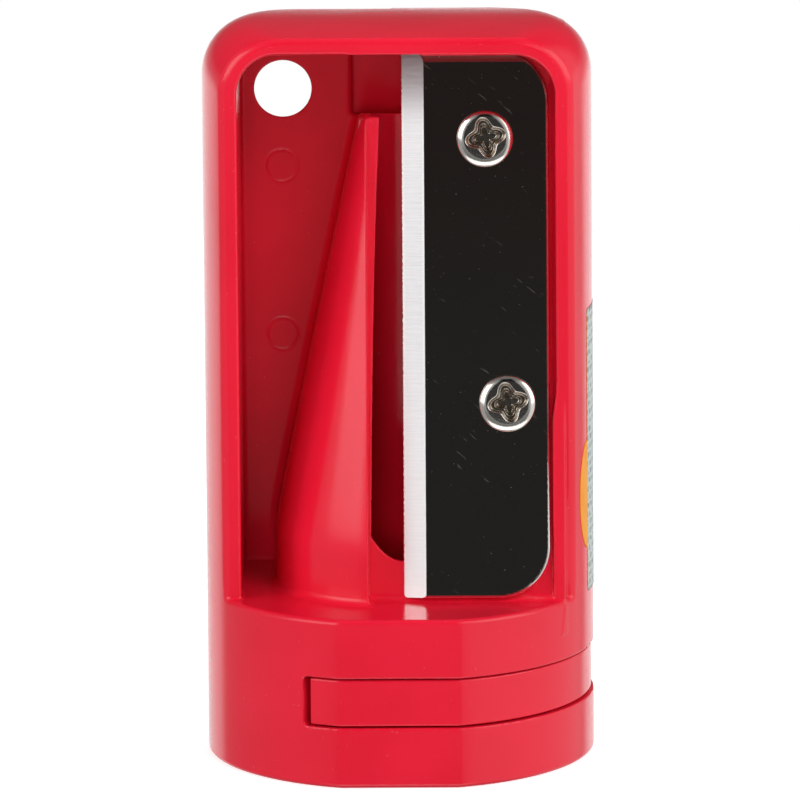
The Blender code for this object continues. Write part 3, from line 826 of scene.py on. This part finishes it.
def label_mesh():
    """The printed label: a curved rectangle with small round corners and half an oval in front."""
    foot, top, start, end = LABEL
    middle, half_tab, reach = TAB
    lift, thickness = LABEL_LAYER
    tab_steps, corner_steps, other_steps = LABEL_COLUMNS
    columns = []
    for t in np.sin(np.linspace(tab_steps[0], math.pi / 2, tab_steps[1])):
        columns.append((start - reach * math.sqrt(1 - t * t), middle - half_tab * t, middle + half_tab * t))
    for t in np.linspace(corner_steps[0], math.pi / 2, corner_steps[1]):
        inset = LABEL_CORNER * (1 - math.sin(t))
        columns.append((start + LABEL_CORNER * (1 - math.cos(t)) / BODY_RADIUS, foot + inset, top - inset))
    for share in np.linspace(other_steps[0], 1, other_steps[1]):
        columns.append((start + (end - start) * share, foot, top))
    points = []
    for radius in (BODY_RADIUS + lift, BODY_RADIUS + lift + thickness):
        for turn, low, high in columns:
            for z in np.linspace(low, high, LABEL_ROWS):
                points.append((radius * math.cos(turn), radius * math.sin(turn), z))
    grid = np.arange(len(points)).reshape(2, len(columns), LABEL_ROWS)
    quads = []
    for layer, flip in ((grid[1], False), (grid[0], True)):
        ring = [layer[:-1, :-1], layer[1:, :-1], layer[1:, 1:], layer[:-1, 1:]]
        quads.append(np.stack(ring[::-1] if flip else ring, -1).reshape(-1, 4))
    sides = [grid[:, :, 0], grid[:, -1, 1:], grid[:, ::-1, -1][:, 1:], grid[:, 0, ::-1][:, 1:]]
    rim = np.concatenate(sides, 1)
    quads.append(np.stack([rim[0, :-1], rim[0, 1:], rim[1, 1:], rim[1, :-1]], -1))
    mesh = mesh_from("label", np.array(points), np.concatenate(quads))
    flat_sides = len(quads[2])
    mesh.polygons.foreach_set("use_smooth", np.arange(len(mesh.polygons)) < len(mesh.polygons) - flat_sides)
    return mesh


def make_pieces():
    red, plated, steel, paper = red_plastic(), plated_steel(), blade_steel(), label_paper()

    def gridded(kind, shape, box, matrix=None, fine=None, name=None):
        step, most_triangles = GRIDS[kind]
        return shaped(name or kind, shape, box, step, most_triangles, matrix, fine)

    piece = gridded("moulded_body", body_shape, BODY, fine=SLIT_GRID)
    made = [(piece, "housing", "red_plastic", red, "body")]
    piece = gridded("turning_collar", collar_shape, COLLAR)
    made.append((piece, "collar", "red_plastic", red, "pencil_collar"))
    piece = gridded("snap_clip", clip_shape, CLIP)
    made.append((piece, "housing", "red_plastic", red, "retaining_clip"))
    place = seat_matrix(BLADE_LEFT, SEAT_FOOT[1], BLADE_LIFT)
    piece = gridded("ground_blade", blade_shape, ((0, 0, 0), BLADE_SIZE), place)
    made.append((piece, "housing", "blade_steel", steel, "blade"))
    radius, height = HEAD
    box = ((-radius, -radius, -SHANK[1]), (radius, radius, height))
    for name, (x, z) in SCREWS.items():
        place = seat_matrix(x, z, SCREW_LIFT) @ Matrix.Rotation(CROSS_TURN, 4, "Z")
        seen_name = name.replace("blade_screw", "cross_screw")
        piece = gridded("cross_screw", screw_shape, box, place, name=seen_name)
        made.append((piece, "housing", "plated_steel", plated, name))
    piece = add_object("printed_label", label_mesh())
    made.append((piece, "housing", "label_paper", paper, "side_label"))
    for piece, body, slot, material, node in made:
        piece.data.materials.append(material)
        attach(piece, body)
        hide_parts(node)


def direction_patch(world, turn, lift, across, up, soft):
    """One inside a range of azimuths and heights in degrees, falling to nought over a soft margin."""
    low, high = across
    foot, top = up
    right = world.range(turn, high, high + soft, 1.0, 0.0)
    side = world.math("MULTIPLY", world.range(turn, low - soft, low), right)
    over = world.range(lift, top, top + soft, 1.0, 0.0)
    rise = world.math("MULTIPLY", world.range(lift, foot - soft, foot), over)
    return world.math("MULTIPLY", side, rise)


def make_world():
    """White to the camera, and a studio of soft boxes and dark gaps to everything else."""
    made = bpy.data.worlds.new("studio")
    bpy.context.scene.world = made
    world = Nodes(made)
    x, y, z = world.node("SeparateXYZ", {0: world.node("TexCoord").outputs["Generated"]}).outputs
    turn = world.math("MULTIPLY", world.math("ARCTAN2", x, world.math("MULTIPLY", y, -1.0)), 180 / math.pi)
    lift = world.math("MULTIPLY", world.math("ARCSINE", z), 180 / math.pi)
    light = SKY
    for across, up, soft, value in PATCHES:
        patch = direction_patch(world, turn, lift, across, up, soft)
        light = world.math("MULTIPLY_ADD", patch, value, light)
    light = world.math("MAXIMUM", light, 0.0)
    seen = world.node("LightPath").outputs["Is Camera Ray"]
    strength = world.mix(seen, light, WHITE)
    background = made.node_tree.nodes["Background"]
    world.feed(background.inputs["Color"], strength)
    background.inputs["Strength"].default_value = 1.0


def make_floor():
    """A pale floor, lit up to white for the camera and open from below."""
    mesh = bpy.data.meshes.new("floor")
    shape = bmesh.new()
    bmesh.ops.create_circle(shape, cap_ends=True, segments=96, radius=FLOOR_RADIUS * MM)
    shape.to_mesh(mesh)
    shape.free()
    floor = add_object("floor", mesh)
    floor.location.z = -FLOOR_DROP * MM
    floor.visible_glossy = floor.visible_diffuse = False
    surface = Surface("pale_floor")
    grain = surface.range(surface.noise(0.35, 4.0), 0.3, 0.7)
    surface.set("Base Color", surface.mix(grain, *FLOOR_GREYS))
    surface.set("Roughness", surface.range(grain, 0.0, 1.0, 0.75, 0.9))
    surface.shader.inputs["Emission Color"].default_value = (*WHITE, 1.0)
    surface.shader.inputs["Emission Strength"].default_value = FLOOR_GLOW
    below = surface.node("NewGeometry").outputs["Backfacing"]
    open_below = surface.node("MixShader", {0: below, 1: surface.shader.outputs[0]})
    surface.feed(open_below.inputs[2], surface.node("BsdfTransparent").outputs[0])
    surface.feed(surface.tree.nodes["Material Output"].inputs["Surface"], open_below.outputs[0])
    floor.data.materials.append(surface.owner)


def area_light(name, place, size, power):
    """A lamp for shape and shadow. The soft boxes that reflections show are in the world."""
    light = bpy.data.lights.new(name, "AREA")
    light.shape = "RECTANGLE"
    light.size, light.size_y = size[0] * MM, size[1] * MM
    light.energy = power
    obj = add_object(name, light)
    obj.visible_glossy = False
    where = Vector(place) * MM
    aim = Vector((0, 0, BODY[1].z / 2)) * MM
    obj.matrix_world = Matrix.Translation(where) @ (where - aim).to_track_quat("Z", "Y").to_matrix().to_4x4()


def make_camera():
    forward = Vector(
        (
            -math.sin(CAMERA_TURN) * math.cos(CAMERA_PITCH),
            math.cos(CAMERA_TURN) * math.cos(CAMERA_PITCH),
            -math.sin(CAMERA_PITCH),
        )
    )
    right = Vector((math.cos(CAMERA_TURN), math.sin(CAMERA_TURN), 0))
    up = right.cross(forward)
    turned = (
        right * math.cos(CAMERA_ROLL) + up * math.sin(CAMERA_ROLL),
        up * math.cos(CAMERA_ROLL) - right * math.sin(CAMERA_ROLL),
    )
    data = bpy.data.cameras.new("camera")
    data.lens = FOCAL_LENGTH
    data.sensor_width = SENSOR_WIDTH
    data.clip_start, data.clip_end = CLIPPING
    camera = add_object("camera", data)
    axes = Matrix((turned[0], turned[1], -forward)).transposed().to_4x4()
    place = (Vector(CAMERA_AIM) - forward * CAMERA_DISTANCE) * MM
    camera.matrix_world = Matrix.Translation(place) @ axes
    bpy.context.scene.camera = camera


make_world()
make_floor()
for settings in LIGHTS:
    area_light(*settings)
make_camera()
make_pieces()
bpy.context.scene.view_settings.view_transform = "Standard"
